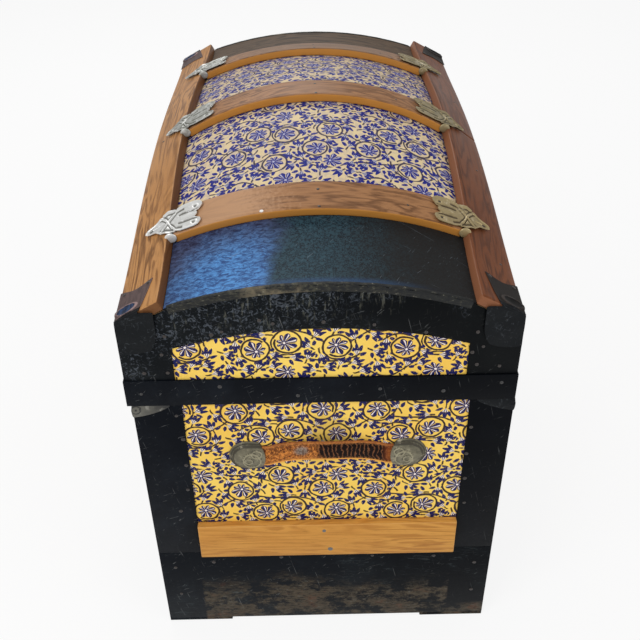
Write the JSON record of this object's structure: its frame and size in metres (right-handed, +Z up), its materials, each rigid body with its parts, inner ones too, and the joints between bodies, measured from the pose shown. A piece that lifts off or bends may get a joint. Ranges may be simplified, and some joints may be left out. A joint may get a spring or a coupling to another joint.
{
  "type": "dome-top trunk",
  "caption": "Dome-top trunk with a slatted arched lid on back hinges, printed paper panels, black metal bindings, leather end handles, hasp lock and a lift-out tray.",
  "frame": {"origin": "on the floor, under the middle of the trunk's overall length and width", "axes": "+X along the trunk towards the end seen nearest in the picture, -Y to the front with the lock, +Y to the back with the hinges, +Z up"},
  "size_m": [0.7902, 0.4764, 0.6505],
  "materials": {
    "papered_board": "yellow printed paper with a blue scroll and daisy pattern, pasted on board",
    "papered_shell": "cream printed paper with a blue scroll and daisy pattern, pasted on the domed shell",
    "pine": "bare pale board, matt",
    "black_sheet": "black enamelled sheet, worn and scratched",
    "oak": "varnished slat, darkened with age",
    "end_oak": "varnished slat, bright orange brown",
    "casting": "plated casting, dulled silver to greenish brass",
    "handle_cap": "cast cap, grey green and worn",
    "leather": "stitched brown leather, cracked along the middle",
    "iron": "dark iron",
    "brass": "dull brass plate"
  },
  "bodies": {
    "chest": {"floor_board": "pine", "front_board": "papered_board", "back_board": "papered_board", "end_board_right": "papered_board", "end_board_left": "papered_board", "runner_front": "black_sheet", "runner_back": "black_sheet", "bottom_binding": "black_sheet", "corner_strip_front_right": "black_sheet", "corner_strip_front_left": "black_sheet", "corner_strip_back_right": "black_sheet", "corner_strip_back_left": "black_sheet", "end_slat_right": "end_oak", "end_slat_left": "end_oak", "front_rail": "oak", "back_rail": "oak", "handle_strap_right": "leather", "handle_strap_left": "leather", "handle_cap_front_right": "handle_cap", "handle_cap_back_right": "handle_cap", "handle_cap_front_left": "handle_cap", "handle_cap_back_left": "handle_cap", "lock_housing": "brass", "hinge_leaf_chest_right": "iron", "hinge_leaf_chest_left": "iron", "tray_cleat_front": "pine", "tray_cleat_back": "pine"},
    "lid": {"dome_shell": "papered_shell", "lid_front_board": "pine", "lid_back_board": "pine", "lid_end_board_right": "pine", "lid_end_board_left": "pine", "lid_band": "black_sheet", "lid_end_binding_right": "black_sheet", "lid_end_binding_left": "black_sheet", "dome_sheet_right": "black_sheet", "dome_sheet_left": "black_sheet", "slat_end_cap_front_right": "black_sheet", "slat_end_cap_front_left": "black_sheet", "slat_end_cap_back_right": "black_sheet", "slat_end_cap_back_left": "black_sheet", "edge_slat_front": "oak", "edge_slat_back_right": "oak", "edge_slat_back_left": "oak", "bent_slat_right": "oak", "bent_slat_middle": "oak", "bent_slat_left": "oak", "slat_clamp_front_left": "casting", "slat_clamp_front_middle": "casting", "slat_clamp_front_right": "casting", "slat_clamp_back_left": "casting", "slat_clamp_back_middle": "casting", "slat_clamp_back_right": "casting", "hinge_leaf_lid_right": "iron", "hinge_leaf_lid_left": "iron", "hasp_plate": "brass"},
    "hasp": {"hasp": "brass"},
    "bolt": {"lock_bolt": "iron"},
    "tray": {"tray_floor": "pine", "tray_frame": "pine"}
  },
  "joints": [
    {"name": "lid_hinge", "type": "hinge", "parent": "chest", "child": "lid", "pos_m": [0, 0.23345, 0.421], "axis": [-1, 0, 0], "range_deg": [0, 100]},
    {"name": "hasp_hinge", "type": "hinge", "parent": "lid", "child": "hasp", "pos_m": [0, -0.23465, 0.45], "axis": [-1, 0, 0], "range_deg": [0, 150]},
    {"name": "bolt_slide", "type": "slide", "parent": "chest", "child": "bolt", "axis": [-1, 0, 0], "range_m": [0, 0.01]},
    {"name": "tray_lift", "type": "slide", "parent": "chest", "child": "tray", "axis": [0, 0, 1], "range_m": [0, 0.1]}
  ]
}
